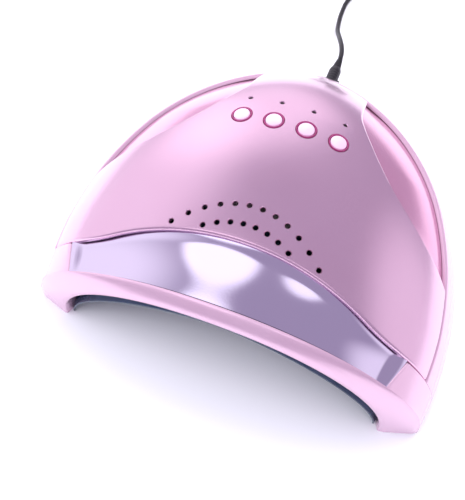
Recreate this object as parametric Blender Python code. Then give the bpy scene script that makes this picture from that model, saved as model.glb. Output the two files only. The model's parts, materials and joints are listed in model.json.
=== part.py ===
"""UV LED nail lamp: a low domed housing with an arched hand opening, on its mains adapter lead.

The file is in metres with +Z up; the helper functions take millimetres. The origin is the centre of the
lamp's footprint on the table, +X is the lamp's right side seen from the front, and the arch faces -Y.
"""

import math

import bmesh
import bpy
from mathutils import Matrix, Vector

MM = 0.001
GAP = 0.3

# The outer dome: sections across X are superellipses whose width and crown follow these numbers.
HALF_WIDTH = 110.0
HALF_DEPTH = 100.0
CREST_Z = 88.0
CREST_Y = 4.0
WAIST_Y = -46.0
FRONT_TAPER = 7.0
FRONT_FALL = 0.0030
PLAN_POWER = 1.95
BACK_POWER = 1.7
FRONT_SECTION_POWER = 2.1
BACK_SECTION_POWER = 1.8
ARC_STEPS = 36
WALL = 2.4

# The hand opening and the lip round it: (y, half width, height) of the lip's face.
ARCH_HALF_WIDTH = 86.0
ARCH_HEIGHT = 51.5
LIP_FACE = ((-100.0, 87.2, 52.5), (-99.2, 90.0, 54.2), (-97.0, 98.0, 57.4), (-94.8, 103.8, 59.4))
LIP_BACK_Y = -94.0

# The top covers end at this slanted seam, and at a curved edge above the mirrored band.
SEAM_FRONT_Y = -72.0
SEAM_FRONT_Z = 31.0
SEAM_SLOPE = 0.28
BROW_Y = -68.0
BROW_BEND = 0.0024
BROW_REACH = 72.0
BAND_HALF_WIDTH = 86.0
BAND_LOW_HALF_WIDTH = 80.0
BAND_DEPTH = 1.7
HALF_SPLIT = 3.0
# The top cover's side edge is a ridge that sweeps from the seam up to the crest; the side covers lie behind it.
RIDGE = ((120.0, -90.0), (120.0, -52.5), (108.0, -45.0), (97.0, -38.0), (89.0, -33.0), (76.0, -26.0),
         (66.0, -20.0), (55.0, -12.0), (43.0, 1.0), (34.0, 15.0), (31.0, 28.0), (30.0, 70.0))

# The vaulted reflector over the hand.
REFLECTOR_INSET = 16.0
REFLECTOR_FRONT_Y = -97.5
REFLECTOR_CREST = 62.0
REFLECTOR_FRONT_CREST = 46.8
REFLECTOR_BACK_Y = HALF_DEPTH - REFLECTOR_INSET
REFLECTOR_TAPER = 11.6
REFLECTOR_WALL = 1.4

BUTTON_X = (-24.5, -8.2, 8.2, 24.5)
BUTTON_Y = -5.0
BUTTON_RADIUS = 4.25
BUTTON_TRAVEL = 0.8
INDICATOR_Y = 8.0
INDICATOR_RADIUS = 0.9
BOARD_TOP_Z = 75.9
BOARD_THICK = 1.5
LED_RADIUS = 2.6
LED_STAND_PROUD = 2.8

JACK_Z = 26.0
JACK_BACK_Y = 98.5
PLUG_RADIUS = 4.0
PLUG_LENGTH = 18.0
RELIEF_LENGTH = 10.5
CORD_DIAMETER = 3.4
CORD_REST_Z = 1.75

COIL_CENTRE = (-16.0, 292.0)
COIL_MEAN_RADIUS = 18.2
COIL_HALF_SECTION = (6.3, 3.4)
COIL_CLEARANCE = 1.05
TIE_WIDTH = 5.0
ADAPTER_LOW = (-13.0, 325.0, 0.0)
ADAPTER_HIGH = (29.0, 387.0, 27.0)
ADAPTER_ENTRY = (8.0, 325.0, 5.0)
ADAPTER_RELIEF = 10.0
BLADE_SIZE = (1.5, 16.0, 6.3)

# The cord's free run from the strain relief to the coil, and from the coil to the adapter.
FREE_RUN = ((0.0, 128.0, 26.0), (-1.0, 136.0, 25.5), (-3.4, 146.0, 23.4), (-6.8, 158.0, 18.8),
            (-10.2, 171.0, 12.6), (-13.6, 184.0, 6.8), (-16.0, 198.0, 3.0), (-17.6, 213.0, CORD_REST_Z),
            (-17.6, 230.0, CORD_REST_Z), (-13.2, 246.0, CORD_REST_Z), (-4.5, 260.0, CORD_REST_Z),
            (5.4, 274.0, CORD_REST_Z), (10.6, 292.0, CORD_REST_Z))
TAIL_RUN = ((10.6, 292.0, 6.0), (10.6, 299.0, 6.0), (9.8, 306.0, 5.7), (8.5, 311.5, 5.2), (8.0, 314.4, 5.0))


def power_curve(t, power):
    """1 at t = 0 falling to 0 at t = 1, on a superellipse."""
    t = min(max(t, 0.0), 1.0)
    return max(1.0 - t**power, 0.0) ** (1.0 / power)


def half_width(y, inset=0.0, taper=FRONT_TAPER):
    if y > WAIST_Y:
        t = (y - WAIST_Y) / (HALF_DEPTH - inset - WAIST_Y)
        return (HALF_WIDTH - inset) * power_curve(t, PLAN_POWER)
    return HALF_WIDTH - inset - taper * ((WAIST_Y - y) / 55.0) ** 2.2


def crown(y, inset=0.0):
    if y > CREST_Y:
        return (CREST_Z - inset) * power_curve((y - CREST_Y) / (HALF_DEPTH - inset - CREST_Y), BACK_POWER)
    return CREST_Z - inset - FRONT_FALL * (y - CREST_Y) ** 2


def section_power(y):
    share = min(max((y + 60.0) / 120.0, 0.0), 1.0)
    return FRONT_SECTION_POWER + (BACK_SECTION_POWER - FRONT_SECTION_POWER) * share


def dome_z(x, y):
    w = half_width(y)
    return crown(y) * power_curve(abs(x) / w, section_power(y)) if abs(x) < w else 0.0


def dome_normal(x, y):
    e = 0.4
    slope_x = (dome_z(x + e, y) - dome_z(x - e, y)) / (2 * e)
    slope_y = (dome_z(x, y + e) - dome_z(x, y - e)) / (2 * e)
    return Vector((-slope_x, -slope_y, 1.0)).normalized()


def seam_z(y):
    return SEAM_FRONT_Z + SEAM_SLOPE * (y - SEAM_FRONT_Y)


def brow_y(x):
    return BROW_Y - BROW_BEND * min(abs(x), BROW_REACH) ** 2


def reflector_crown(y, inset=0.0):
    if y > 0.0:
        return (REFLECTOR_CREST - inset) * power_curve(y / (REFLECTOR_BACK_Y - inset), BACK_POWER)
    fall = REFLECTOR_CREST - REFLECTOR_FRONT_CREST
    return REFLECTOR_CREST - inset - fall * (y / REFLECTOR_FRONT_Y) ** 1.6


def reflector_z(x, y):
    w = half_width(y, REFLECTOR_INSET, REFLECTOR_TAPER)
    return reflector_crown(y) * power_curve(abs(x) / w, reflector_power(y))


def reflector_power(y):
    share = min(max((y - REFLECTOR_FRONT_Y) / 60.0, 0.0), 1.0)
    return 1.67 + 0.15 * share


def material(name, colour, roughness, metallic=0.0):
    made = bpy.data.materials.new(name)
    made.use_nodes = True
    shader = made.node_tree.nodes["Principled BSDF"]
    shader.inputs["Base Color"].default_value = (*colour, 1.0)
    shader.inputs["Roughness"].default_value = roughness
    shader.inputs["Metallic"].default_value = metallic
    made.diffuse_color = (*colour, 1.0)
    return made


def mesh_object(name, points, faces, finish=None):
    """A mesh object from points in millimetres, with its faces turned outwards."""
    mesh = bpy.data.meshes.new(name)
    mesh.from_pydata([tuple(c * MM for c in p) for p in points], [], faces)
    mesh.validate()
    made = bpy.data.objects.new(name, mesh)
    bpy.context.scene.collection.objects.link(made)
    turn_out(mesh)
    if finish:
        mesh.materials.append(finish)
    mesh.shade_smooth()
    mesh.set_sharp_from_angle(angle=math.radians(32))
    return made


def turn_out(mesh):
    work = bmesh.new()
    work.from_mesh(mesh)
    bmesh.ops.recalc_face_normals(work, faces=work.faces)
    if work.calc_volume(signed=True) < 0:
        bmesh.ops.reverse_faces(work, faces=work.faces)
    work.to_mesh(mesh)
    work.free()


def loft(name, loops, finish=None):
    """A closed solid through loops with the same number of points, capped at both ends."""
    count = len(loops[0])
    points = [p for loop in loops for p in loop]
    faces = [tuple(range(count)), tuple(range(len(points) - count, len(points)))]
    for i in range(len(loops) - 1):
        for j in range(count):
            k = (j + 1) % count
            faces.append((i * count + j, i * count + k, (i + 1) * count + k, (i + 1) * count + j))
    return mesh_object(name, points, faces, finish)


def vault_loop(y, half, height, power, foot=0.0):
    """A superellipse arch across X at one y, closed along its base, which may reach below the table."""
    loop = []
    for k in range(ARC_STEPS + 1):
        angle = math.pi * k / ARC_STEPS
        c, s = math.cos(angle), math.sin(angle)
        x = half * math.copysign(abs(c) ** (2 / power), c) if abs(c) > 1e-9 else 0.0
        z = height * abs(s) ** (2 / power) if s > 1e-9 else 0.0
        loop.append((x, y, z))
    if foot:
        loop += [(-half, y, -foot), (half, y, -foot)]
    return loop


def stations(front, back, count=24):
    """Places along Y that close up towards the back, where the dome turns down."""
    return [front + (back - front) * math.sin(math.pi / 2 * k / count) for k in range(count + 1)]


def dome_loops(inset, front, foot=0.0, count=24):
    back = HALF_DEPTH - inset - 0.25
    return [vault_loop(y, half_width(y, inset), crown(y, inset), section_power(y), foot)
            for y in stations(front, back, count)]


def prism(name, outline, low, high, finish=None):
    """An outline of (x, y) extruded from low to high, each a height or a function of y."""
    def level(value, y):
        return value(y) if callable(value) else value

    loops = [[(x, y, level(low, y)) for x, y in outline], [(x, y, level(high, y)) for x, y in outline]]
    return loft(name, loops, finish)


def block(name, low, high, finish=None):
    outline = [(low[0], low[1]), (high[0], low[1]), (high[0], high[1]), (low[0], high[1])]
    return prism(name, outline, low[2], high[2], finish)


def turned(name, profile, place, axis, sides=20, finish=None):
    """A solid of revolution: profile is (distance along the axis, radius), radius over 0 throughout."""
    turn = Vector((0, 0, 1)).rotation_difference(Vector(axis)).to_matrix()
    loops = []
    for along, radius in profile:
        ring = [Vector((radius * math.cos(a), radius * math.sin(a), along))
                for a in (2 * math.pi * k / sides for k in range(sides))]
        loops.append([tuple(turn @ p + Vector(place)) for p in ring])
    return loft(name, loops, finish)


def ring_solid(name, profile, place, axis, sides=28, finish=None):
    """A closed profile of (distance along the axis, radius) swept round the axis."""
    turn = Vector((0, 0, 1)).rotation_difference(Vector(axis)).to_matrix()
    points, faces = [], []
    count = len(profile)
    for k in range(sides):
        a = 2 * math.pi * k / sides
        for along, radius in profile:
            p = turn @ Vector((radius * math.cos(a), radius * math.sin(a), along)) + Vector(place)
            points.append(tuple(p))
    for k in range(sides):
        n = (k + 1) % sides
        for j in range(count):
            m = (j + 1) % count
            faces.append((k * count + j, k * count + m, n * count + m, n * count + j))
    return mesh_object(name, points, faces, finish)


def cut(target, other, operation="DIFFERENCE"):
    """A Boolean by a helper solid, which is hidden from renders."""
    other.hide_render = True
    other.hide_viewport = False
    other.display_type = "WIRE"
    modifier = target.modifiers.new(operation.title(), "BOOLEAN")
    modifier.operation = operation
    modifier.solver = "EXACT"
    modifier.object = other


def joined(name, pieces):
    """One helper object out of several, for cutting many holes at once."""
    points, faces = [], []
    for piece in pieces:
        start = len(points)
        points += [tuple(v.co / MM) for v in piece.data.vertices]
        faces += [tuple(start + i for i in p.vertices) for p in piece.data.polygons]
        bpy.data.objects.remove(piece)
    return mesh_object(name, points, faces)


def cover_outline(gap):
    """Plan of everything that the top covers hold: curved front edge, then wide of the dome."""
    front = [(x, brow_y(x) + gap) for x in range(-112, 113, 8)]
    return front + [(130.0, 120.0), (-130.0, 120.0)]


def panel_outline(gap):
    side = [(x - gap, y - gap) for x, y in RIDGE]
    return side + [(-x, y) for x, y in reversed(side)]


def band_outline(gap):
    """Plan of the mirrored band's window between the lip and the brow."""
    top = [(x, brow_y(x) - 1.6 + gap) for x in range(-84, 85, 7)]
    low_y = LIP_BACK_Y + 0.4 - gap
    wide, low = BAND_HALF_WIDTH + gap, BAND_LOW_HALF_WIDTH + gap
    return top + [(wide, brow_y(wide) - 1.6 + gap), (low, low_y), (-low, low_y), (-wide, brow_y(wide) - 1.6 + gap)]


def ring_outline(outer, inner, front):
    """Plan of a U that follows the dome's footprint between two insets, open at the front."""
    def side(inset):
        return [(half_width(y, inset), y) for y in stations(front, HALF_DEPTH - inset - 0.02, 13)]

    right, inner_right = side(outer), side(inner)
    left = [(-x, y) for x, y in reversed(right)]
    inner_left = [(-x, y) for x, y in inner_right]
    return right + left + inner_left + list(reversed(inner_right))


def shell(name, finish, inset=0.0, wall=WALL):
    made = loft(name, dome_loops(inset, LIP_BACK_Y), finish)
    cut(made, loft(name + "_core", dome_loops(inset + wall, LIP_BACK_Y - 2, foot=3.0)))
    return made


def upright(x, y):
    """The place on the dome over (x, y) and the outward direction there."""
    return Vector((x, y, dome_z(x, y))), dome_normal(x, y)


def vent_places():
    """Two rows of small holes on arcs over the mirrored band."""
    places = []
    for count, half_span, y_mid, y_end in ((12, 35.5, -51.0, -66.5), (8, 20.5, -59.5, -65.0)):
        for k in range(count):
            x = -half_span + 2 * half_span * k / (count - 1)
            places.append((x, y_mid + (y_end - y_mid) * (abs(x) / half_span) ** 2))
    return places


def make_housing(finish):
    lip = [vault_loop(y, half, height, FRONT_SECTION_POWER) for y, half, height in LIP_FACE]
    housing = loft("lower_housing", lip + dome_loops(0.0, LIP_BACK_Y), finish)
    arch = [vault_loop(y, ARCH_HALF_WIDTH, ARCH_HEIGHT, FRONT_SECTION_POWER, foot=3.0) for y in (-103.0, -93.4)]
    cut(housing, loft("arch_core", arch + dome_loops(WALL, -93.2, foot=3.0)))
    cut(housing, prism("cover_space", cover_outline(0.0), seam_z, 120.0))
    cut(housing, prism("band_space", band_outline(0.0), 5.0, 120.0))
    cut(housing, prism("ledge", ring_outline(1.9, 11.0, -88.0), 5.6, 8.6), "UNION")
    cut(housing, block("jack_space", (-6.6, 78.0, JACK_Z - 7.6), (6.6, 103.0, JACK_Z + 7.6)))
    holes = [turned("hole", ((0.0, 1.6), (12.0, 1.6)), (x, y, -1.0), (0, 0, 1), 12) for x, y in screw_places()]
    cut(housing, joined("ledge_holes", holes))


def make_covers(finish, inset_finish):
    def keep(target):
        space = prism(target.name + "_keep", cover_outline(GAP), lambda y: seam_z(y) + GAP, 121.0)
        cut(target, space, "INTERSECT")

    panel = shell("top_cover", finish)
    keep(panel)
    cut(panel, prism("panel_keep", panel_outline(GAP), 0.0, 122.0), "INTERSECT")
    holes = []
    for x, y in vent_places():
        place, out = upright(x, y)
        holes.append(turned("hole", ((-6.0, 1.25), (3.0, 1.25)), place, out, 10))
    for x in BUTTON_X:
        place, out = upright(x, BUTTON_Y)
        holes.append(turned("hole", ((-6.0, 5.6), (3.0, 5.6)), place, out, 24))
        place, out = upright(x, INDICATOR_Y)
        holes.append(turned("hole", ((-6.0, 1.25), (3.0, 1.25)), place, out, 10))
    cut(panel, joined("panel_holes", holes))
    for name, side in (("right_side_cover", 1), ("left_side_cover", -1)):
        wing = shell(name, inset_finish)
        edges = sorted((side * HALF_SPLIT, side * 140.0))
        cut(wing, block(name + "_half", (edges[0], -130, -5), (edges[1], 130, 123)), "INTERSECT")
        keep(wing)
        cut(wing, prism(name + "_panel", panel_outline(0.0), 0.0, 122.0))


def make_band(finish):
    band = shell("mirror_band", finish, BAND_DEPTH, 1.5)
    cut(band, prism("band_keep", band_outline(-GAP), 0.0, 121.0), "INTERSECT")


def vault_of(inset):
    back = REFLECTOR_BACK_Y - inset - 0.25
    front = REFLECTOR_FRONT_Y - (2.0 if inset else 0.0)
    loops = []
    for y in stations(front, back, 12):
        half = half_width(max(y, REFLECTOR_FRONT_Y), REFLECTOR_INSET + inset, REFLECTOR_TAPER)
        height = reflector_crown(max(y, REFLECTOR_FRONT_Y), inset)
        loops.append(vault_loop(y, half, height, reflector_power(y), foot=0.0 if not inset else 3.0))
    return loops


def led_places():
    """Place on the reflector, direction towards its board and board name, for each emitter."""
    places = [("led_board_top", Vector((x, y, reflector_z(x, y))), Vector((0, 0, 1)))
              for x in (-13.0, 13.0) for y in (-40.0, -18.0, 4.0, 26.0)]
    for side in (-1, 1):
        name = "led_board_right" if side > 0 else "led_board_left"
        for y in (-42.0, -20.0, 2.0):
            places.append((name, Vector((side * 70.0, y, reflector_z(70.0, y))), Vector((side * 0.611, 0, 0.792))))
    for x in (-14.0, 0.0, 14.0):
        places.append(("led_board_back", Vector((x, 60.0, reflector_z(x, 60.0))), Vector((0, 0.655, 0.755))))
    return places


BOARDS = {
    "led_board_top": ((0.0, -7.0, 67.7), (1, 0, 0), (0, 1, 0), 20.0, 42.0),
    "led_board_right": ((76.6, -20.0, 47.0), (0.792, 0, -0.611), (0, 1, 0), 7.0, 31.0),
    "led_board_left": ((-76.6, -20.0, 47.0), (-0.792, 0, -0.611), (0, 1, 0), 7.0, 31.0),
    "led_board_back": ((0.0, 68.0, 45.4), (1, 0, 0), (0, 0.755, -0.655), 21.0, 6.0),
}


def plate(name, centre, along, across, half_long, half_wide, thick, finish):
    centre, along, across = Vector(centre), Vector(along).normalized(), Vector(across).normalized()
    out = along.cross(across)
    loops = []
    for level in (-thick / 2, thick / 2):
        corners = ((-1, -1), (1, -1), (1, 1), (-1, 1))
        loops.append([tuple(centre + along * half_long * a + across * half_wide * b + out * level)
                      for a, b in corners])
    return loft(name, loops, finish)


def make_reflector_and_leds(reflector_finish, board_finish):
    reflector = loft("reflector", vault_of(0.0), reflector_finish)
    cut(reflector, loft("reflector_core", vault_of(REFLECTOR_WALL)))
    holes = []
    for name, (centre, along, across, half_long, half_wide) in BOARDS.items():
        board = plate(name, centre, along, across, half_long, half_wide, 1.4, board_finish)
        out = Vector(along).cross(Vector(across)).normalized()
        leds = []
        for owner, place, towards in led_places():
            if owner != name:
                continue
            towards = towards.normalized()
            reach = abs((Vector(centre) - place).dot(out)) / abs(towards.dot(out))
            profile = ((-LED_STAND_PROUD, 1.6), (-LED_STAND_PROUD + 0.8, LED_RADIUS), (reach, LED_RADIUS))
            leds.append(turned("led", profile, place, towards, 12))
            holes.append(turned("hole", ((-6.0, LED_RADIUS + 0.5), (4.0, LED_RADIUS + 0.5)), place, towards, 12))
        cut(board, joined(name + "_emitters", leds), "UNION")
    sensor_place = Vector((0.0, -29.0, reflector_z(0.0, -29.0)))
    holes.append(turned("hole", ((-6.0, 2.7), (4.0, 2.7)), sensor_place, (0, 0, 1), 12))
    cut(reflector, joined("reflector_holes", holes))


def make_controls(board_finish, cap_finish, bezel_finish, switch_finish, pipe_finish):
    board_low = BOARD_TOP_Z - BOARD_THICK
    block("control_board", (-34.0, -14.0, board_low), (34.0, 18.0, BOARD_TOP_Z), board_finish)
    for number, x in enumerate(BUTTON_X, 1):
        place, out = upright(x, BUTTON_Y)
        cap = ((-6.2, 1.5), (-2.4, 1.5), (-2.4, BUTTON_RADIUS), (0.3, BUTTON_RADIUS), (0.75, 3.9), (1.0, 2.6))
        turned(f"button_cap_{number}", cap, place, out, 24, cap_finish)
        ring_solid(f"button_bezel_{number}", ((-3.0, 4.65), (-3.0, 5.25), (0.15, 5.25), (0.15, 4.65)),
                   place, out, 24, bezel_finish)
        top = place + out * -5.4
        turn = Vector((0, 0, 1)).rotation_difference(out).to_matrix()
        low = (BOARD_TOP_Z + 0.9 - top.z) / out.z
        corners = ((-3, -3), (3, -3), (3, 3), (-3, 3))
        loops = [[tuple(turn @ Vector((a, b, level)) + top) for a, b in corners] for level in (low, 0.0)]
        switch = loft(f"switch_{number}", loops, switch_finish)
        cut(switch, turned(f"switch_{number}_well", ((-2.2, 1.9), (2.0, 1.9)), top, out, 16))
        place, out = upright(x, INDICATOR_Y)
        turned(f"indicator_pipe_{number}", (((BOARD_TOP_Z + 0.5 - place.z) / out.z, INDICATOR_RADIUS),
                                            (-0.6, INDICATOR_RADIUS)), place, out, 12, pipe_finish)


def make_electronics(can_finish, black, sensor_finish, wire_finish):
    turned("capacitor", ((0.0, 3.2), (4.2, 3.2), (4.6, 2.8)), (-16.3, 13.0, BOARD_TOP_Z + GAP), (0, 0, 1), 20,
           can_finish)
    ring_solid("buzzer", ((0.0, 0.6), (0.0, 3.6), (3.6, 3.6), (3.6, 0.6)), (16.3, 13.0, BOARD_TOP_Z + GAP),
               (0, 0, 1), 20, black)
    block("driver_chip", (-5.0, -13.0, BOARD_TOP_Z + GAP), (5.0, -10.0, BOARD_TOP_Z + 2.0), black)
    turned("hand_sensor", ((-1.4, 1.5), (-0.4, 2.2), (5.6, 2.2)),
           (0.0, -29.0, reflector_z(0.0, -29.0)), (0, 0, 1), 16, sensor_finish)
    jack = block("dc_jack", (-6.2, 81.0, JACK_Z - 7.2), (6.2, JACK_BACK_Y, JACK_Z + 7.2), black)
    cut(jack, turned("jack_bore", ((0.0, 3.1), (12.0, 3.1)), (0, 86.5, JACK_Z), (0, 1, 0), 20))
    harness = ((2.0, 79.2, 27.0), (12.0, 77.0, 30.0), (26.0, 70.0, 36.0), (30.0, 58.0, 47.0), (28.0, 45.0, 59.0),
               (27.0, 32.0, 69.0), (27.0, 24.0, 73.6), (27.0, 19.2, 75.0))
    tube("wiring_harness", harness, 1.3, wire_finish, 5.0)


def smooth_path(route, spacing):
    """Points about spacing apart on a smooth curve through the route's points."""
    path = []
    last = len(route) - 1
    for i in range(last):
        p0, p1, p2, p3 = (Vector(route[min(max(i + k, 0), last)]) for k in (-1, 0, 1, 2))
        steps = max(1, round((p2 - p1).length / spacing))
        for k in range(steps):
            t = k / steps
            path.append(0.5 * (2 * p1 + (p2 - p0) * t + (2 * p0 - 5 * p1 + 4 * p2 - p3) * t**2
                               + (3 * p1 - p0 - 3 * p2 + p3) * t**3))
    return path + [Vector(route[-1])]


def tube(name, route, radius, finish, spacing):
    curve = bpy.data.curves.new(name, "CURVE")
    curve.dimensions = "3D"
    curve.bevel_depth = radius * MM
    curve.bevel_resolution = 2
    curve.use_fill_caps = True
    path = smooth_path(route, spacing)
    spline = curve.splines.new("POLY")
    spline.points.add(len(path) - 1)
    for point, place in zip(spline.points, path):
        point.co = (*(place * MM), 1.0)
    curve.materials.append(finish)
    made = bpy.data.objects.new(name, curve)
    bpy.context.scene.collection.objects.link(made)
    return made


def make_cord(black):
    back = (0, 1, 0)
    start = JACK_BACK_Y + GAP
    turned("dc_plug", ((-8.6, 2.7), (0.0, 2.7), (0.0, 3.7), (0.6, PLUG_RADIUS), (PLUG_LENGTH - 1.2, PLUG_RADIUS),
                       (PLUG_LENGTH, 3.4)), (0, start, JACK_Z), back, 20, black)
    relief = start + PLUG_LENGTH + GAP
    turned("strain_relief", ((0.0, 3.1), (RELIEF_LENGTH * 0.6, 2.5), (RELIEF_LENGTH - 0.3, 2.1)),
           (0, relief, JACK_Z), back, 16, black)
    tube("cord_run", FREE_RUN, CORD_DIAMETER / 2, black, 2.6 * CORD_DIAMETER)
    tube("cord_tail", TAIL_RUN, CORD_DIAMETER / 2, black, 1.5 * CORD_DIAMETER)
    make_coil(black)
    make_adapter(black)


def make_coil(black):
    half_wide, half_high = COIL_HALF_SECTION
    centre = (*COIL_CENTRE, half_high + COIL_CLEARANCE)
    angles = [2 * math.pi * (k + 0.5) / 12 for k in range(12)]
    section = [(half_high * math.sin(a), COIL_MEAN_RADIUS + half_wide * math.cos(a)) for a in angles]
    ring_solid("cord_coil", section, centre, (0, 0, 1), 22, black)
    sides = 24
    points, faces = [], []
    for x in (-TIE_WIDTH / 2, TIE_WIDTH / 2):
        for room in (0.3, 1.0):
            for k in range(sides):
                a = 2 * math.pi * k / sides
                points.append((centre[0] + x, centre[1] + COIL_MEAN_RADIUS + (half_wide + room) * math.cos(a),
                               centre[2] + (half_high + room) * math.sin(a)))
    inner, outer, far_inner, far_outer = (range(n * sides, (n + 1) * sides) for n in range(4))
    for first, second in ((inner, outer), (outer, far_outer), (far_outer, far_inner), (far_inner, inner)):
        for k in range(sides):
            n = (k + 1) % sides
            faces.append((first[k], first[n], second[n], second[k]))
    mesh_object("cord_tie", points, faces, black)


def make_adapter(black):
    adapter = block("power_adapter", ADAPTER_LOW, ADAPTER_HIGH, black)
    rounding = adapter.modifiers.new("Rounding", "BEVEL")
    rounding.width = 3.0 * MM
    rounding.segments = 3
    turned("adapter_relief", ((-ADAPTER_RELIEF, 2.1), (-ADAPTER_RELIEF * 0.4, 2.6), (-GAP, 3.1)),
           ADAPTER_ENTRY, (0, 1, 0), 16, black)
    middle = (ADAPTER_LOW[0] + ADAPTER_HIGH[0]) / 2
    for number, side in enumerate((-1, 1), 1):
        x = middle + side * 6.35
        low = (x - BLADE_SIZE[0] / 2, ADAPTER_HIGH[1] + GAP, 13.5 - BLADE_SIZE[2] / 2)
        block(f"adapter_blade_{number}", low, [a + b for a, b in zip(low, BLADE_SIZE)], black)


def screw_places():
    return [(side * (half_width(y, 8.0)), y) for side in (-1, 1) for y in (-70.0, 45.0)]


def make_base(frame_finish, rubber, steel):
    frame = prism("base_frame", ring_outline(2.9, 14.6, -88.0), 1.4, 5.2, frame_finish)
    holes = []
    for number, (x, y) in enumerate(screw_places(), 1):
        holes.append(turned("hole", ((0.0, 1.6), (8.0, 1.6)), (x, y, 0.0), (0, 0, 1), 12))
        turned(f"base_screw_{number}", ((0.3, 2.1), (0.5, 2.4), (1.1, 2.4), (1.1, 1.25), (9.4, 1.25)),
               (x, y, 0.0), (0, 0, 1), 12, steel)
    cut(frame, joined("frame_holes", holes))
    pads = [(side * half_width(y, 8.5), y) for side in (-1, 1) for y in (-50.0, 62.0)]
    for number, (x, y) in enumerate(pads, 1):
        turned(f"rubber_foot_{number}", ((0.0, 3.6), (0.3, 4.0), (1.1, 4.0)), (x, y, 0.0), (0, 0, 1), 20, rubber)


def clear_scene():
    for old in list(bpy.data.objects):
        bpy.data.objects.remove(old)


def main():
    clear_scene()
    pink = material("metallic_pink", (0.78, 0.52, 0.70), 0.22, 0.55)
    deep_pink = material("deep_pink", (0.72, 0.38, 0.54), 0.3, 0.4)
    mirror = material("mirror_band", (0.86, 0.82, 0.98), 0.05, 1.0)
    teal = material("dark_teal", (0.02, 0.05, 0.09), 0.15, 0.5)
    pearl = material("pearl", (0.92, 0.78, 0.90), 0.2, 0.0)
    magenta = material("magenta", (0.45, 0.04, 0.18), 0.3, 0.2)
    black = material("black_plastic", (0.012, 0.012, 0.014), 0.4)
    board = material("circuit_board", (0.85, 0.85, 0.84), 0.5)
    green = material("green_board", (0.02, 0.16, 0.08), 0.5)
    can = material("aluminium_can", (0.6, 0.6, 0.62), 0.3, 1.0)
    smoke = material("smoked_lens", (0.05, 0.01, 0.03), 0.1)
    rubber = material("rubber", (0.03, 0.03, 0.03), 0.8)
    steel = material("steel", (0.55, 0.55, 0.56), 0.35, 1.0)
    make_housing(pink)
    make_covers(pink, deep_pink)
    make_band(mirror)
    make_reflector_and_leds(teal, board)
    make_controls(green, pearl, magenta, black, smoke)
    make_electronics(can, black, smoke, black)
    make_base(pink, rubber, steel)
    make_cord(black)


main()
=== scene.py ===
"""The looks of the UV LED nail lamp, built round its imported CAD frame.

Shape functions take millimetres, as in part.py, and every mesh is made in metres. The lamp's front faces -Y.
"""

import json
import math

import bmesh
import bpy
from mathutils import Matrix, Vector

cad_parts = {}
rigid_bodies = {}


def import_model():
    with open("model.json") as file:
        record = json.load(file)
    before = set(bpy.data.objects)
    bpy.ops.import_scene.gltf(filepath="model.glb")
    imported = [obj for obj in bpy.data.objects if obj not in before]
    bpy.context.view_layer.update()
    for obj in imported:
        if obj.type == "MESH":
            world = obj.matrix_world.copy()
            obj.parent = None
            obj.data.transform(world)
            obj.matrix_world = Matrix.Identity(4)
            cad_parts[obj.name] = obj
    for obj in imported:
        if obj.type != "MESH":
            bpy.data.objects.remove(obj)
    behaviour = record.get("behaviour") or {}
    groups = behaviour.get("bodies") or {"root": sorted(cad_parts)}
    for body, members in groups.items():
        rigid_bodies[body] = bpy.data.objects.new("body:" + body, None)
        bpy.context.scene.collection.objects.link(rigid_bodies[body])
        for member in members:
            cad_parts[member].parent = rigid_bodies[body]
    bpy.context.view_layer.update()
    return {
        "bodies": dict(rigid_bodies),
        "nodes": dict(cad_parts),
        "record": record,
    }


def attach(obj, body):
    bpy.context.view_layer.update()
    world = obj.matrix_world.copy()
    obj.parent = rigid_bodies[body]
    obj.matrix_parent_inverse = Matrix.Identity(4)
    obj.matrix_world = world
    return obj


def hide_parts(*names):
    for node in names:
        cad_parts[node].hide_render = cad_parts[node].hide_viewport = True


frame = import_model()
BODY = next(name for name in frame["bodies"] if not name.startswith("button"))

MM = 0.001

# Camera: place in millimetres, angles in degrees, lens and sensor in millimetres.
CAMERA_PLACE = (41.2, -205.2, 288.6)
CAMERA_AZIMUTH, CAMERA_ELEVATION, CAMERA_ROLL = 18.42, 57.1, 3.14
CAMERA_LENS, CAMERA_SENSOR = 42.12, 36.0

# The outer dome, as in part.py.
HALF_WIDTH, HALF_DEPTH = 110.0, 100.0
CREST_Z, CREST_Y, WAIST_Y = 88.0, 4.0, -46.0
FRONT_TAPER, FRONT_TAPER_REACH, FRONT_TAPER_POWER = 7.0, 55.0, 2.2
FRONT_FALL = 0.0030
PLAN_POWER, BACK_POWER = 1.95, 1.7
FRONT_SECTION_POWER, BACK_SECTION_POWER = 2.1, 1.8
SECTION_CHANGE_Y, SECTION_CHANGE_RUN = -60.0, 120.0
WALL = 2.4
LIP_BACK_Y = -94.0
SEAM_FRONT_Y, SEAM_FRONT_Z, SEAM_SLOPE = -72.0, 31.0, 0.28
BROW_Y, BROW_BEND, BROW_REACH, BROW_SOFT = -68.0, 0.0024, 72.0, 12.0
BAND_HALF_WIDTH, BAND_LOW_HALF_WIDTH = 86.0, 80.0
GAP = 0.35
ROUND = 1.6
COVER_WALL = 2.4
RIDGE = ((120.0, -90.0), (120.0, -52.5), (108.0, -45.0), (97.0, -38.0), (89.0, -33.0), (76.0, -26.0),
         (66.0, -20.0), (55.0, -12.0), (43.0, 1.0), (34.0, 15.0), (31.0, 28.0), (30.0, 70.0))
INSET_DEPTH = 2.45
RIDGE_MEETS_SEAM_Y, RIDGE_BLEND = -44.0, 8.0
RIDGE_STEPS = 12

BUTTON_X, BUTTON_Y = (-24.5, -8.2, 8.2, 24.5), -5.0
INDICATOR_Y = 8.0
VENT_HOLE, BUTTON_HOLE, INDICATOR_HOLE = 1.2, 5.15, 1.1
# Rows of vents: how many, half the row's span, y in its middle and y at its ends.
VENT_ROWS = ((12, 35.5, -51.0, -66.5), (8, 20.5, -59.5, -65.0))

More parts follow.
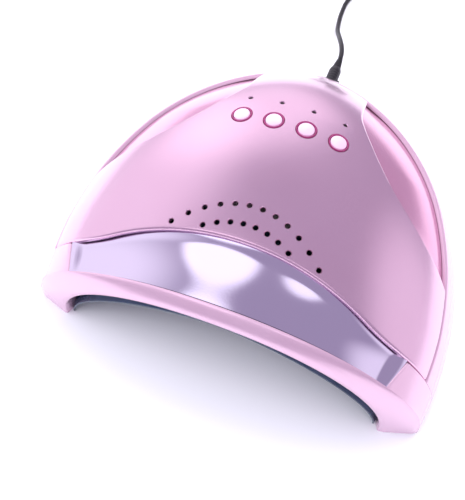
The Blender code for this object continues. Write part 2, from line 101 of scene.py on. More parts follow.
# The lead, as in part.py.
JACK_Z, JACK_BACK_Y = 26.0, 98.5
PLUG_LENGTH, RELIEF_LENGTH = 18.0, 10.5
CORD_DIAMETER, CORD_REST_Z = 3.4, 1.75
FREE_RUN = ((0.0, 128.0, 26.0), (-1.0, 136.0, 25.5), (-3.4, 146.0, 23.4), (-6.8, 158.0, 18.8),
            (-10.2, 171.0, 12.6), (-13.6, 184.0, 6.8), (-16.0, 198.0, 3.0), (-17.6, 213.0, CORD_REST_Z),
            (-17.6, 230.0, CORD_REST_Z), (-13.2, 246.0, CORD_REST_Z), (-4.5, 260.0, CORD_REST_Z),
            (5.4, 274.0, CORD_REST_Z), (10.6, 292.0, CORD_REST_Z))
TAIL_RUN = ((10.6, 299.0, 6.0), (9.8, 306.0, 5.7), (8.5, 311.5, 5.2), (8.0, 314.4, 5.0))
COIL_CENTRE, COIL_OUTER_RADIUS = (-16.0, 292.0), 26.6
COIL_TURNS_PER_LAYER, COIL_PITCH, COIL_LAYER = 4, 3.45, 3.45
ADAPTER_ENTRY, ADAPTER_RELIEF = (8.0, 325.0, 5.0), 10.0


# ---- shape functions ----

def power_curve(t, power):
    t = min(max(t, 0.0), 1.0)
    return max(1.0 - t**power, 0.0) ** (1.0 / power)


def half_width(y):
    if y > WAIST_Y:
        return HALF_WIDTH * power_curve((y - WAIST_Y) / (HALF_DEPTH - WAIST_Y), PLAN_POWER)
    return HALF_WIDTH - FRONT_TAPER * ((WAIST_Y - y) / FRONT_TAPER_REACH) ** FRONT_TAPER_POWER


def crown(y):
    if y > CREST_Y:
        return CREST_Z * power_curve((y - CREST_Y) / (HALF_DEPTH - CREST_Y), BACK_POWER)
    return CREST_Z - FRONT_FALL * (y - CREST_Y) ** 2


def section_power(y):
    share = min(max((y - SECTION_CHANGE_Y) / SECTION_CHANGE_RUN, 0.0), 1.0)
    return FRONT_SECTION_POWER + (BACK_SECTION_POWER - FRONT_SECTION_POWER) * share


def dome_z(x, y):
    w = half_width(y)
    return crown(y) * power_curve(abs(x) / w, section_power(y)) if abs(x) < w else 0.0


def dome_normal(x, y):
    e = 0.4
    slope_x = (dome_z(x + e, y) - dome_z(x - e, y)) / (2 * e)
    slope_y = (dome_z(x, y + e) - dome_z(x, y - e)) / (2 * e)
    return Vector((-slope_x, -slope_y, 1.0)).normalized()


def seam_z(y):
    return SEAM_FRONT_Z + SEAM_SLOPE * (y - SEAM_FRONT_Y)


def brow_y(x):
    """The front edge of the covers, with its bend fading out softly near the pillars."""
    straight = BROW_REACH - BROW_SOFT
    reach = abs(x)
    if reach >= straight:
        reach = straight + BROW_SOFT * math.tanh((reach - straight) / BROW_SOFT)
    return BROW_Y - BROW_BEND * reach**2


def smooth(t):
    t = min(max(t, 0.0), 1.0)
    return t * t * (3.0 - 2.0 * t)


def along(table, value):
    """Linear reading of a table of (result, key) with rising keys."""
    for (a, low), (b, high) in zip(table, table[1:]):
        if value <= high or (b, high) == table[-1]:
            t = min(max((value - low) / (high - low), 0.0), 1.0)
            return a + (b - a) * t


def spline(points, steps):
    """A Catmull-Rom curve through points of any dimension, as vectors."""
    last = len(points) - 1
    path = []
    for i in range(last):
        p0, p1, p2, p3 = (Vector(points[min(max(i + k, 0), last)]) for k in (-1, 0, 1, 2))
        for k in range(steps):
            t = k / steps
            path.append(0.5 * (2 * p1 + (p2 - p0) * t + (2 * p0 - 5 * p1 + 4 * p2 - p3) * t**2
                               + (3 * p1 - p0 - 3 * p2 + p3) * t**3))
    return path + [Vector(points[-1])]


RIDGE_CURVE = [(p.x, p.y) for p in spline([(x, y, 0) for x, y in RIDGE], RIDGE_STEPS)]


def seam_x(y):
    """How far out the seam lies at y."""
    if crown(y) <= seam_z(y):
        return 0.0
    return half_width(y) * power_curve(seam_z(y) / crown(y), section_power(y))


def cover_x(y):
    """Half width of the top cover at y: to the seam in front, and to the ridge behind it."""
    ridge = along(RIDGE_CURVE, y)
    return min(ridge, seam_x(y) - GAP) if y < RIDGE_MEETS_SEAM_Y + RIDGE_BLEND else ridge


def angle_of(x, y):
    """The section angle over x at y, from the dome's side at 0 to its crest at a right angle."""
    return math.acos(min(x / half_width(y), 1.0) ** (section_power(y) / 2))


def x_at(angle, y):
    return half_width(y) * max(math.cos(angle), 0.0) ** (2 / section_power(y))


def edge_drop(distance):
    """How far a surface rolls down at this distance from its edge."""
    if distance >= ROUND:
        return 0.0
    return ROUND - math.sqrt(max(ROUND**2 - (ROUND - max(distance, 0.0)) ** 2, 0.0))


def edge_steps(count, length, fine=(0.0, 0.15, 0.4, 0.8, 1.3, 1.8)):
    """Shares from 0 to 1, closed up at both ends so that an edge can be rounded."""
    low = [d / length for d in fine]
    high = [1.0 - s for s in reversed(low)]
    inner = [low[-1] + (high[0] - low[-1]) * k / count for k in range(1, count)]
    return low + inner + high


# ---- mesh helpers ----

def mesh_object(name, points, faces, finish, parent_body=BODY, sharp=35.0):
    mesh = bpy.data.meshes.new(name)
    mesh.from_pydata([tuple(c * MM for c in p) for p in points], [], faces)
    work = bmesh.new()
    work.from_mesh(mesh)
    bmesh.ops.remove_doubles(work, verts=work.verts, dist=1e-6)
    bmesh.ops.recalc_face_normals(work, faces=work.faces)
    work.to_mesh(mesh)
    work.free()
    mesh.materials.append(finish)
    mesh.shade_smooth()
    mesh.set_sharp_from_angle(angle=math.radians(sharp))
    made = bpy.data.objects.new(name, mesh)
    bpy.context.scene.collection.objects.link(made)
    if parent_body:
        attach(made, parent_body)
    return made


def grid_faces(rows, columns, closed=False):
    width = columns if closed else columns - 1
    faces = []
    for i in range(rows - 1):
        this, after = i * columns, (i + 1) * columns
        for j in range(width):
            beside = (j + 1) % columns
            faces.append((this + j, this + beside, after + beside, after + j))
    return faces


def walled(name, outer, inner, finish):
    """A solid between two grids of points of the same size, joined round their rims."""
    count, width = len(outer), len(outer[0])
    points = [p for rows in (outer, inner) for row in rows for p in row]
    faces = grid_faces(count, width)
    second = count * width
    faces += [tuple(second + i for i in reversed(face)) for face in grid_faces(count, width)]
    rim = list(range(width)) + [i * width + width - 1 for i in range(1, count)]
    rim += [(count - 1) * width + j for j in range(width - 2, -1, -1)]
    rim += [i * width for i in range(count - 2, 0, -1)]
    for a, b in zip(rim, rim[1:] + rim[:1]):
        faces.append((b, a, second + a, second + b))
    return mesh_object(name, points, faces, finish, sharp=50.0)


def turn_to(axis):
    return Vector((0, 0, 1)).rotation_difference(Vector(axis)).to_matrix()


def turned(name, profile, place, axis, finish, body=BODY, sides=64):
    """A solid of revolution from (distance along the axis, radius); a radius of 0 closes an end."""
    turn, place = turn_to(axis), Vector(place)
    points = []
    for far, radius in profile:
        for k in range(sides):
            a = 2 * math.pi * k / sides
            points.append(turn @ Vector((radius * math.cos(a), radius * math.sin(a), far)) + place)
    faces = grid_faces(len(profile), sides, closed=True)
    faces += [tuple(range(sides)), tuple(range(len(points) - sides, len(points)))]
    return mesh_object(name, points, faces, finish, body)


def on_dome(x, y, depth=0.0):
    """A point this far under the dome, measured along its normal."""
    return Vector((x, y, dome_z(x, y))) - dome_normal(x, y) * depth


def cut(target, cutter):
    """A Boolean difference, applied, with the cutter removed and the shading made smooth again."""
    modifier = target.modifiers.new("Cut", "BOOLEAN")
    modifier.operation, modifier.solver, modifier.object = "DIFFERENCE", "EXACT", cutter
    graph = bpy.context.evaluated_depsgraph_get()
    mesh = bpy.data.meshes.new_from_object(target.evaluated_get(graph))
    target.modifiers.clear()
    target.data = mesh
    bpy.data.objects.remove(cutter)
    target.data.shade_smooth()
    target.data.set_sharp_from_angle(angle=math.radians(28))
    normals = target.modifiers.new("Normals", "WEIGHTED_NORMAL")
    normals.keep_sharp = True


# ---- materials ----

SECOND_TONE_SHARE, ROUGHNESS_SPREAD = 0.5, 0.06


def new_material(name):
    made = bpy.data.materials.new(name)
    made.use_nodes = True
    tree = made.node_tree
    return made, tree, tree.nodes["Principled BSDF"]


def textured(name, colour, second, roughness, metallic=0.0, scale=60.0, bump=0.02, bump_scale=900.0,
             **sockets):
    """Colour that varies softly between two tones, roughness that varies with it, and a fine bump."""
    made, tree, shader = new_material(name)
    node, link = tree.nodes.new, tree.links.new
    place = node("ShaderNodeTexCoord")
    cloud = node("ShaderNodeTexNoise")
    cloud.inputs["Scale"].default_value = scale
    cloud.inputs["Detail"].default_value = 4.0
    link(place.outputs["Object"], cloud.inputs["Vector"])
    tones = node("ShaderNodeMix")
    tones.data_type = "RGBA"
    tones.inputs[6].default_value = (*colour, 1.0)
    tones.inputs[7].default_value = (*second, 1.0)
    share = node("ShaderNodeMapRange")
    share.inputs["From Min"].default_value, share.inputs["From Max"].default_value = 0.35, 0.65
    share.inputs["To Max"].default_value = SECOND_TONE_SHARE
    link(cloud.outputs["Fac"], share.inputs["Value"])
    link(share.outputs["Result"], tones.inputs["Factor"])
    link(tones.outputs[2], shader.inputs["Base Color"])
    rough = node("ShaderNodeMapRange")
    rough.inputs["To Min"].default_value = max(roughness - ROUGHNESS_SPREAD / 2, 0.01)
    rough.inputs["To Max"].default_value = roughness + ROUGHNESS_SPREAD / 2
    link(cloud.outputs["Fac"], rough.inputs["Value"])
    link(rough.outputs["Result"], shader.inputs["Roughness"])
    grain = node("ShaderNodeTexNoise")
    grain.inputs["Scale"].default_value = bump_scale
    grain.inputs["Detail"].default_value = 2.0
    link(place.outputs["Object"], grain.inputs["Vector"])
    relief = node("ShaderNodeBump")
    relief.inputs["Strength"].default_value = bump
    relief.inputs["Distance"].default_value = 0.0003
    link(grain.outputs["Fac"], relief.inputs["Height"])
    link(relief.outputs["Normal"], shader.inputs["Normal"])
    shader.inputs["Metallic"].default_value = metallic
    for socket, value in sockets.items():
        shader.inputs[socket.replace("_", " ")].default_value = value
    made.diffuse_color = (*colour, 1.0)
    return made


def make_materials():
    return {
        "metallic_pink": textured("metallic_pink_plate", (0.83, 0.55, 0.71), (0.86, 0.59, 0.75), 0.24, 0.88,
                                  scale=25.0, Coat_Weight=0.35, Coat_Roughness=0.06),
        "housing_pink": textured("housing_pink_plate", (0.82, 0.55, 0.70), (0.85, 0.60, 0.75), 0.26, 0.55,
                                 scale=25.0, Coat_Weight=0.4, Coat_Roughness=0.1),
        "deep_pink": textured("deep_pink_plate", (0.78, 0.40, 0.58), (0.82, 0.46, 0.64), 0.22, 0.75,
                              scale=25.0, Coat_Weight=0.3, Coat_Roughness=0.1),
        "mirror_band": textured("mirror_plating", (0.84, 0.78, 0.96), (0.90, 0.80, 0.98), 0.09, 1.0,
                                scale=18.0, bump=0.01),
        # dark_reflector: the dark teal colour of the liner inside the hand opening is painted shade; it
        # stands in for the deep shade seen under the lip.
        "dark_reflector": textured("dark_reflector", (0.018, 0.060, 0.11), (0.03, 0.09, 0.15), 0.22, 0.3,
                                   scale=120.0, Coat_Weight=0.5, Coat_Roughness=0.08),
        "led_board": textured("white_board", (0.82, 0.82, 0.80), (0.74, 0.75, 0.72), 0.45, scale=400.0),
        "circuit_board": textured("green_board", (0.015, 0.14, 0.06), (0.02, 0.2, 0.09), 0.4, scale=500.0),
        "pearl": textured("pearl_cap", (0.95, 0.62, 0.84), (0.98, 0.72, 0.90), 0.2, 0.25, scale=220.0,
                          Coat_Weight=0.8, Coat_Roughness=0.05),
        "magenta": textured("magenta_ring", (0.42, 0.05, 0.20), (0.55, 0.08, 0.28), 0.2, 0.5, scale=300.0,
                            Coat_Weight=0.6, Coat_Roughness=0.05),
        "smoked_lens": textured("smoked_window", (0.010, 0.003, 0.007), (0.02, 0.004, 0.012), 0.45,
                                scale=300.0),
        "aluminium_can": textured("aluminium_can", (0.62, 0.62, 0.64), (0.5, 0.5, 0.52), 0.3, 1.0,
                                  scale=300.0),
        "rubber": textured("foot_rubber", (0.025, 0.025, 0.025), (0.05, 0.05, 0.05), 0.8,
                           scale=500.0, bump=0.2),
        "steel": textured("zinc_steel", (0.56, 0.56, 0.57), (0.44, 0.44, 0.46), 0.32, 1.0, scale=300.0),
        "cord_jacket": textured("cord_jacket", (0.010, 0.010, 0.012), (0.022, 0.021, 0.024), 0.5, scale=300.0,
                                bump=0.15, bump_scale=2500.0),
        "black_plastic": textured("black_moulding", (0.012, 0.012, 0.014), (0.022, 0.021, 0.024), 0.38,
                                  scale=300.0, bump=0.2, bump_scale=3000.0),
    }


# ---- housing ----

ARC_STEPS = 150
PILLAR_Y = -80.4
WALL_ROWS, PILLAR_ROWS, WALL_COLUMNS = 110, 10, 44
WALL_LENGTH, WALL_ROUND = 60.0, 0.7
# The lip's section, as (y, half width, height), round the ring.
LIP_RING = ((-93.4, 84.2, 49.8), (-99.4, 86.0, 51.5), (-99.9, 86.3, 51.8), (-100.1, 87.2, 52.5),
            (-99.7, 89.4, 53.8), (-98.5, 93.4, 55.5), (-97.0, 98.0, 57.3), (-95.6, 102.2, 58.5),
            (-94.6, 104.1, 59.0), (-94.2, 104.5, 59.1), (-93.9, 104.2, 58.6), (-93.7, 102.8, 56.6))


def vault_loop(y, half, height, power):
    loop = []
    for k in range(ARC_STEPS + 1):
        angle = math.pi * k / ARC_STEPS
        c, s = math.cos(angle), math.sin(angle)
        x = half * math.copysign(abs(c) ** (2 / power), c) if abs(c) > 1e-9 else 0.0
        loop.append((x, y, height * abs(s) ** (2 / power) if s > 1e-9 else 0.0))
    return loop


def make_lip(finish):
    """The rolled lip round the hand opening, down to the pillars' feet."""
    loops = [vault_loop(y, half, height, FRONT_SECTION_POWER) for y, half, height in LIP_RING]
    points = [p for loop in loops for p in loop]
    width, count = ARC_STEPS + 1, len(loops)
    faces = []
    for i in range(count):
        this, after = i * width, (i + 1) % count * width
        faces += [(this + j, this + j + 1, after + j + 1, after + j) for j in range(width - 1)]
    faces += [tuple(i * width for i in range(count)), tuple(i * width + width - 1 for i in range(count))]
    lip = mesh_object("housing_lip", points, faces, finish)
    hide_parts("lower_housing")


def pillar_edge(y):
    """The half width of the mirrored band's window at y, where the pillar begins."""
    share = (y - LIP_BACK_Y) / (PILLAR_Y - LIP_BACK_Y)
    return BAND_LOW_HALF_WIDTH + (BAND_HALF_WIDTH - BAND_LOW_HALF_WIDTH) * share


def side_end(y, in_pillar):
    """The section angle at which the housing's wall ends: the band's window, the seam or the top."""
    w, n, top = half_width(y), section_power(y), crown(y)
    if in_pillar:
        return math.acos((pillar_edge(y) / w) ** (n / 2))
    return math.asin(min((seam_z(y) / top) ** (n / 2), 1.0)) if top > 0 else math.pi / 2


def make_housing(finish):
    """The wall under the seam, with the pillars in front of the covers, built as a right and a left half that
    mirror each other.
    """
    front, back = LIP_BACK_Y - 0.2, PILLAR_Y - 0.05
    rows = [(front + (back - front) * k / PILLAR_ROWS, True) for k in range(PILLAR_ROWS + 1)]
    rows += [(y, False) for y in stations(PILLAR_Y + 0.05, HALF_DEPTH - 0.15, WALL_ROWS)]
    outer, inner = [], []
    for y, in_pillar in rows:
        w, n, top = half_width(y), section_power(y), crown(y)
        end = side_end(y, in_pillar)
        half, wall = [], []
        for share in edge_steps(WALL_COLUMNS, WALL_LENGTH, (0.0, 0.15, 0.35, 0.7, 1.2)):
            angle = end * share
            x = w * math.cos(angle) ** (2 / n) if angle < math.pi / 2 - 1e-6 else 0.0
            z = top * math.sin(angle) ** (2 / n) if angle > 1e-9 else 0.0
            out = wall_normal(x, y, z, w, top, n)
            drop = 0.0 if end > math.pi / 2 - 1e-6 else edge_drop((1 - share) * WALL_LENGTH) * WALL_ROUND
            place = Vector((x, y, z))
            half.append(place - out * drop)
            wall.append(Vector((max(x - WALL * max(out.x, 0.0), 0.0), y - WALL * max(out.y, 0.0),
                                max(z - WALL * max(out.z, 0.0), 0.0))))
        mirrored = [[Vector((-p.x, p.y, p.z)) for p in reversed(line)] for line in (half, wall)]
        outer.append((half, mirrored[0]))
        inner.append((wall, mirrored[1]))
    for pick, name in enumerate(("housing_right", "housing_left")):
        outside, inside = [row[pick] for row in outer], [row[pick] for row in inner]
        shell = walled(name, outside, inside, finish)
        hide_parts("lower_housing")


def wall_normal(x, y, z, w, top, n):
    """The outward direction of the dome at any height, from its formula's slopes."""
    e = 0.3
    share_x, share_z = max(x / w, 1e-6), max(z / top, 1e-6)

    def level(at):
        wide, high = max(half_width(at), 1e-3), max(crown(at), 1e-3)
        return (x / wide) ** n + (z / high) ** n

    slope_y = (level(y + e) - level(y - e)) / (2 * e)
    return Vector((n / w * share_x ** (n - 1), slope_y, n / top * share_z ** (n - 1))).normalized()


def stations(front, back, count):
    return [front + (back - front) * math.sin(math.pi / 2 * k / count) for k in range(count + 1)]


# ---- top cover: panel and wings ----

def span(x, target):
    """The back end of the covers over x: where the dome meets the seam."""
    low, high = 0.0, HALF_DEPTH
    for _ in range(40):
        mid = (low + high) / 2
        low, high = (mid, high) if dome_z(x, mid) > seam_z(mid) + target else (low, mid)
    return low


def vent_places():
    places = []
    for count, half_span, y_mid, y_end in VENT_ROWS:
        for k in range(count):
            x = -half_span + 2 * half_span * k / (count - 1)
            places.append((x, y_mid + (y_end - y_mid) * (abs(x) / half_span) ** 2))
    return places


def make_panel(finish):
    """The top cover, with rounded edges all round and holes for the vents, buttons and indicators."""
    rows, under = [], []

    def x_of(s, y):
        side = angle_of(cover_x(y) - GAP / 2, y)
        return math.copysign(x_at(math.pi / 2 - abs(s) * (math.pi / 2 - side), y), s)

    for t in edge_steps(90, 130.0):
        row, low = [], []
        for c in edge_steps(110, 200.0):
            s = 2 * c - 1
            front, back = -72.0, 50.0
            for _ in range(8):
                front = brow_y(x_of(s, front)) + GAP
                back = span(x_of(s, back), GAP)
            y = front + (back - front) * t
            x = x_of(s, y)
            reach = half_width(y) * (math.pi / 2 - angle_of(cover_x(y) - GAP / 2, y)) * 0.95
            edge = min((1 - abs(s)) * reach, y - front, back - y)
            row.append(on_dome(x, y, edge_drop(edge)))
            low.append(on_dome(x, y, COVER_WALL))
        rows.append(row)
        under.append(low)
    panel = walled("top_panel", rows, under, finish)
    cutters = []
    holes = [(x, y, VENT_HOLE) for x, y in vent_places()]
    holes += [(x, BUTTON_Y, BUTTON_HOLE) for x in BUTTON_X]
    holes += [(x, INDICATOR_Y, INDICATOR_HOLE) for x in BUTTON_X]
    for x, y, radius in holes:
        place = Vector((x, y, dome_z(x, y)))
        profile = ((-5.0, radius), (-0.45, radius), (0.02, radius + 0.35), (2.0, radius + 1.6))
        cutters.append(turned("cutter", profile, place, dome_normal(x, y), None, None, sides=32))
    cut(panel, joined(cutters))
    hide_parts("top_cover")


def joined(cutters):
    """All the separate cutters as one mesh, so that the Boolean runs once."""
    work = bmesh.new()
    for cutter in cutters:
        work.from_mesh(cutter.data)
        bpy.data.objects.remove(cutter)
    mesh = bpy.data.meshes.new("cutter")
    work.to_mesh(mesh)
    work.free()
    made = bpy.data.objects.new("cutter", mesh)
    bpy.context.scene.collection.objects.link(made)
    return made


def make_wing(name, side, finish, node):
    """A side cover: the set-in part between the ridge and the seam, tucked under both."""
    tuck = 1.6
    front = RIDGE_MEETS_SEAM_Y
    while along(RIDGE_CURVE, front) - tuck > seam_x(front):
        front += 0.25
    back = span(RIDGE[-1][0] - tuck, GAP) + 1.0
    rows, under = [], []
    for t in edge_steps(110, 110.0):
        y = front + (back - front) * t
        start = angle_of(along(RIDGE_CURVE, y) - tuck, y)
        end = math.asin(min(((seam_z(y) - tuck) / crown(y)) ** (section_power(y) / 2), 1.0))
        row, low = [], []
        for c in edge_steps(50, 60.0):
            x = side * x_at(start + (min(end, start) - start) * c, y)
            hollow = 0.6 * math.sin(math.pi * c)
            row.append(on_dome(x, y, INSET_DEPTH + hollow))
            low.append(on_dome(x, y, INSET_DEPTH + hollow + 1.4))
        rows.append(row)
        under.append(low)
    wing = walled(name, rows, under, finish)
    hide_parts(node)


def make_band(finish):
    """The mirrored band: a shallow trough of plated plastic between the lip and the brow."""
    rows, under = [], []
    for t in [k / 28 for k in range(29)]:
        row, low_row = [], []
        for k in range(161):
            s = -1 + 2 * k / 160
            wide = BAND_LOW_HALF_WIDTH + (BAND_HALF_WIDTH - BAND_LOW_HALF_WIDTH) * t + 0.6
            x = s * wide
            low, high = LIP_BACK_Y - 0.1, brow_y(x) + 2.5
            y = low + (high - low) * t
            end_roll = smooth((abs(s) - 0.93) / 0.07)
            trough = 1.4 * math.sin(math.pi * t)
            upper_step = 0.6 * smooth((t - 0.75) / 0.2)
            depth = (2.6 + trough + upper_step) * (1 - 0.8 * end_roll)
            row.append(on_dome(x, y, depth))
            low_row.append(on_dome(x, y, depth + 1.0))
        rows.append(row)
        under.append(low_row)
    band = walled("mirror_visor", rows, under, finish)
    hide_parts("mirror_band")


# ---- controls ----

def make_buttons(finishes):
    for number, x in enumerate(BUTTON_X, 1):
        place, out = Vector((x, BUTTON_Y, dome_z(x, BUTTON_Y))), dome_normal(x, BUTTON_Y)
        cap = [(-6.2, 1.4), (-2.4, 1.4), (-2.4, 4.1), (-0.2, 4.1), (0.15, 4.02), (0.45, 3.8), (0.6, 3.4)]
        cap += [(0.6 + 0.42 * math.sin(math.pi / 2 * k / 8), 3.4 * (1 - k / 8.01)) for k in range(1, 9)]
        body = f"button_{number}"
        made = turned(f"button_dome_{number}", cap, place, out, finishes["pearl"], body)
        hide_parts(f"button_cap_{number}")
        ring = [(-3.0, 4.3), (-3.0, 5.0), (-0.1, 5.0), (0.15, 4.92), (0.25, 4.7), (0.15, 4.42), (-0.3, 4.3)]
        made = ring_solid(f"button_ring_{number}", ring, place, out, finishes["magenta"])
        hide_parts(f"button_bezel_{number}")


def ring_solid(name, profile, place, axis, finish, sides=64):
    turn, place = turn_to(axis), Vector(place)
    points = []
    for k in range(sides):
        a = 2 * math.pi * k / sides
        points += [turn @ Vector((r * math.cos(a), r * math.sin(a), far)) + place for far, r in profile]
    count = len(profile)
    faces = []
    for k in range(sides):
        this, after = k * count, (k + 1) % sides * count
        for j in range(count):
            beside = (j + 1) % count
            faces.append((this + j, this + beside, after + beside, after + j))
    return mesh_object(name, points, faces, finish)


# ---- lead ----

def coil_points():
    """Two flat layers of turns: inwards on the table, then outwards on top of them."""
    points = []
    turns, per_turn = COIL_TURNS_PER_LAYER, 20
    total = turns * per_turn
    for k in range(1, 2 * total + 1):
        layer_share = smooth((k / total - 0.97) / 0.06)
        inward = k if k <= total else 2 * total - k
        radius = COIL_OUTER_RADIUS - COIL_PITCH * inward / per_turn
        angle = 2 * math.pi * k / per_turn
        z = CORD_REST_Z + COIL_LAYER * layer_share
        rise = smooth((k - 2 * total + per_turn / 2) / (per_turn / 2))
        points.append((COIL_CENTRE[0] + radius * math.cos(angle), COIL_CENTRE[1] + radius * math.sin(angle),
                       z + (6.0 - CORD_REST_Z - COIL_LAYER) * rise))
    return points


def make_cord(finishes):
    path = [Vector(p) for p in spline(FREE_RUN, 3)] + [Vector(p) for p in coil_points()]
    path += [Vector(p) for p in spline(((10.6, 292.6, 6.0), *TAIL_RUN), 3)]
    curve = bpy.data.curves.new("supply_cord", "CURVE")
    curve.dimensions = "3D"
    curve.bevel_depth = CORD_DIAMETER / 2 * MM
    curve.bevel_resolution = 6
    curve.use_fill_caps = True
    line = curve.splines.new("POLY")
    line.points.add(len(path) - 1)
    for point, place in zip(line.points, path):
        point.co = (*(place * MM), 1.0)
    curve.materials.append(finishes["cord_jacket"])
    cord = bpy.data.objects.new("supply_cord", curve)
    bpy.context.scene.collection.objects.link(cord)
    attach(cord, BODY)
    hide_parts("cord_run", "cord_coil", "cord_tail")
    long = sum((b - a).length for a, b in zip(path, path[1:])) * MM
    return cord, long


def make_lead(finishes):
    black = finishes["black_plastic"]
    cord, long = make_cord(finishes)
    start = JACK_BACK_Y + 0.2
    plug = [(-8.6, 2.7), (0.0, 2.7), (0.0, 3.6), (0.5, 4.0)]
    for k in range(5):
        far = 3.0 + 2.4 * k
        plug += [(far, 4.0), (far + 0.4, 3.7), (far + 1.2, 3.7), (far + 1.6, 4.0)]
    plug += [(PLUG_LENGTH - 1.6, 4.0), (PLUG_LENGTH - 0.4, 3.7), (PLUG_LENGTH, 3.2)]
    made = turned("plug_body", plug, (0, start, JACK_Z), (0, 1, 0), black)
    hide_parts("dc_plug")
    relief = []
    for k in range(5):
        far, radius = 1.9 * k, 3.1 - 0.22 * k
        relief += [(far, radius), (far + 1.2, radius - 0.1)]
        relief += [(far + 1.3, radius - 0.6), (far + 1.8, radius - 0.6)]
    relief += [(RELIEF_LENGTH - 0.6, 2.0), (RELIEF_LENGTH, 1.9)]
    sleeve = turned("plug_relief", relief, (0, start + PLUG_LENGTH + 0.1, JACK_Z), (0, 1, 0),
                    finishes["cord_jacket"])
    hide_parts("strain_relief")
    tie = make_tie(black)
    entry = make_entry(finishes["cord_jacket"])


def make_tie(finish):
    """A flat band round the coil's bundle, on its far side."""
    inner = COIL_OUTER_RADIUS - COIL_PITCH * COIL_TURNS_PER_LAYER - CORD_DIAMETER / 2
    half_wide = (COIL_OUTER_RADIUS + CORD_DIAMETER / 2 - inner) / 2 + 0.2
    middle_y = COIL_CENTRE[1] + inner + half_wide - 0.2
    half_high = 3.5
    points, faces = [], []
    sides, widths = 64, ((-2.6, 0.1), (-2.4, 0.55), (2.4, 0.55), (2.6, 0.1), (2.4, 0.0), (-2.4, 0.0))
    for x, room in widths:
        for k in range(sides):
            a = 2 * math.pi * k / sides
            c, s = math.cos(a), math.sin(a)
            flat = (abs(c) ** 5 + abs(s) ** 5) ** (-1 / 5)
            points.append((COIL_CENTRE[0] + x, middle_y + (half_wide + room) * c * flat,
                           3.55 + (half_high - 0.05 + min(room, 0.05 if s < 0 else room)) * s * flat))
    for j in range(len(widths)):
        n = (j + 1) % len(widths)
        for k in range(sides):
            m = (k + 1) % sides
            faces.append((j * sides + k, j * sides + m, n * sides + m, n * sides + k))
    tie = mesh_object("coil_tie", points, faces, finish)
    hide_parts("cord_tie")
    return tie


def make_entry(finish):
    """The ribbed sleeve where the lead enters the adapter."""
    rings = [(-ADAPTER_RELIEF, 1.9), (-ADAPTER_RELIEF + 0.3, 2.0)]
    for k in range(4):
        far, r = -ADAPTER_RELIEF + 1.0 + 2.2 * k, 2.2 + 0.25 * k
        rings += [(far, r - 0.4), (far + 0.4, r), (far + 1.5, r), (far + 1.7, r - 0.4)]
    rings += [(-0.1, 3.0)]
    entry = turned("adapter_entry", rings, ADAPTER_ENTRY, (0, 1, 0), finish)
    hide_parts("adapter_relief")
    return entry


# ---- stage ----

def make_camera():
    azimuth, elevation, roll = (math.radians(a) for a in (CAMERA_AZIMUTH, CAMERA_ELEVATION, CAMERA_ROLL))
    back = Vector((math.sin(azimuth) * math.cos(elevation), -math.cos(azimuth) * math.cos(elevation),
                   math.sin(elevation)))
    right = Vector((math.cos(azimuth), math.sin(azimuth), 0.0))
    up = back.cross(right)
    turned_right = math.cos(roll) * right + math.sin(roll) * up
    turned_up = math.cos(roll) * up - math.sin(roll) * right
    data = bpy.data.cameras.new("camera")
    data.sensor_width, data.lens = CAMERA_SENSOR, CAMERA_LENS
    data.clip_start, data.clip_end = 0.01, 20.0
    camera = bpy.data.objects.new("camera", data)
    bpy.context.scene.collection.objects.link(camera)
    camera.matrix_world = Matrix.Translation(Vector(CAMERA_PLACE) * MM) @ Matrix(
        (turned_right, turned_up, back)).transposed().to_4x4()
    bpy.context.scene.camera = camera


def area_light(name, place, target, size, power, colour=(1.0, 1.0, 1.0)):
    data = bpy.data.lights.new(name, "AREA")
    data.shape, data.size, data.size_y = "RECTANGLE", size[0], size[1]
    data.energy, data.color = power, colour
    light = bpy.data.objects.new(name, data)
    bpy.context.scene.collection.objects.link(light)
    light.location = place
    light.visible_glossy = False
    light.rotation_euler = (Vector(place) - Vector(target)).to_track_quat("Z", "Y").to_euler()


def make_stage():
    made, _, shader = new_material("pale_floor")
    shader.inputs["Base Color"].default_value = (0.90, 0.91, 0.94, 1.0)
    shader.inputs["Roughness"].default_value = 0.7
    mesh = bpy.data.meshes.new("floor")
    mesh.from_pydata([(-4, -4, 0), (4, -4, 0), (4, 4, 0), (-4, 4, 0)], [], [(0, 1, 2, 3)])
    mesh.materials.append(made)
    floor = bpy.data.objects.new("floor", mesh)
    bpy.context.scene.collection.objects.link(floor)
    make_world()
    bpy.context.scene.view_settings.view_transform = "Standard"
    area_light("key", (0.15, 0.75, 1.0), (0, 0, 0.05), (1.1, 0.8), 10.0)
    area_light("fill", (-0.9, -0.3, 0.7), (0, 0, 0.05), (0.7, 0.9), 4.0, (0.92, 0.95, 1.0))
    area_light("ceiling", (0, -0.2, 1.6), (0, 0, 0), (2.6, 2.6), 26.0, (0.95, 0.97, 1.0))


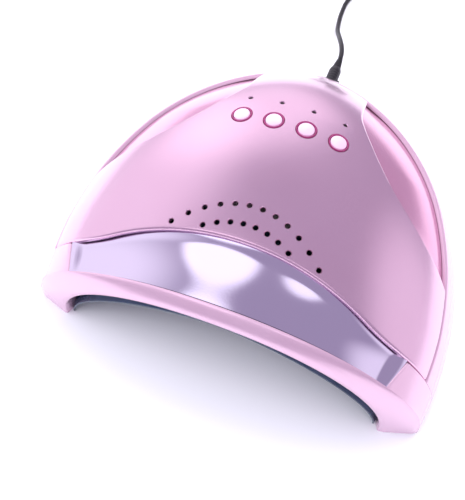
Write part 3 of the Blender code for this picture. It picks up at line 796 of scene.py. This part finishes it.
# Soft panels of the studio: direction, cosine where it begins and where it is full, strength, colour.
STUDIO_PANELS = (((-0.35, 0.78, 0.52), 0.76, 0.97, 0.72, (1.0, 0.96, 1.0)),
                 ((-0.90, 0.10, 0.42), 0.62, 0.95, 0.60, (1.0, 0.96, 1.0)),
                 ((-0.26, -0.48, 0.84), 0.968, 0.984, 0.95, (0.97, 0.96, 1.0)),
                 ((0.22, -0.56, 0.80), 0.985, 0.994, 0.85, (0.97, 0.96, 1.0)),
                 ((0.93, 0.10, 0.30), 0.80, 0.97, 0.50, (1.0, 0.95, 1.0)))
STUDIO_BASE = (0.37, 0.31, 0.44)


def make_world():
    """A mid-toned studio with soft bright panels, which the plating reflects."""
    world = bpy.data.worlds.new("studio")
    world.use_nodes = True
    tree = world.node_tree
    node, link = tree.nodes.new, tree.links.new
    place = node("ShaderNodeTexCoord")
    total = None
    for direction, begin, full, strength, colour in STUDIO_PANELS:
        facing = node("ShaderNodeVectorMath")
        facing.operation = "DOT_PRODUCT"
        facing.inputs[1].default_value = Vector(direction).normalized()
        link(place.outputs["Generated"], facing.inputs[0])
        share = node("ShaderNodeMapRange")
        share.interpolation_type = "SMOOTHSTEP"
        share.inputs["From Min"].default_value, share.inputs["From Max"].default_value = begin, full
        share.inputs["To Max"].default_value = strength
        link(facing.outputs["Value"], share.inputs["Value"])
        glow = node("ShaderNodeVectorMath")
        glow.operation = "SCALE"
        glow.inputs[0].default_value = colour
        link(share.outputs["Result"], glow.inputs["Scale"])
        added = node("ShaderNodeVectorMath")
        added.operation = "ADD"
        if total is None:
            added.inputs[0].default_value = STUDIO_BASE
        else:
            link(total, added.inputs[0])
        link(glow.outputs["Vector"], added.inputs[1])
        total = added.outputs["Vector"]
    link(total, tree.nodes["Background"].inputs["Color"])
    bpy.context.scene.world = world


def finish_cad_nodes(finishes, slots):
    for node, obj in frame["nodes"].items():
        obj.data.materials.clear()
        obj.data.materials.append(finishes[slots[node]])


make_camera()
finishes = make_materials()
slots = {part["node"]: part["material_slot"] for part in frame["record"]["subparts"]}
finish_cad_nodes(finishes, slots)
make_lead(finishes)
make_lip(finishes["housing_pink"])
make_housing(finishes["housing_pink"])
make_panel(finishes["metallic_pink"])
make_wing("right_wing", 1, finishes["deep_pink"], "right_side_cover")
make_wing("left_wing", -1, finishes["deep_pink"], "left_side_cover")
make_band(finishes["mirror_band"])
make_buttons(finishes)
make_stage()
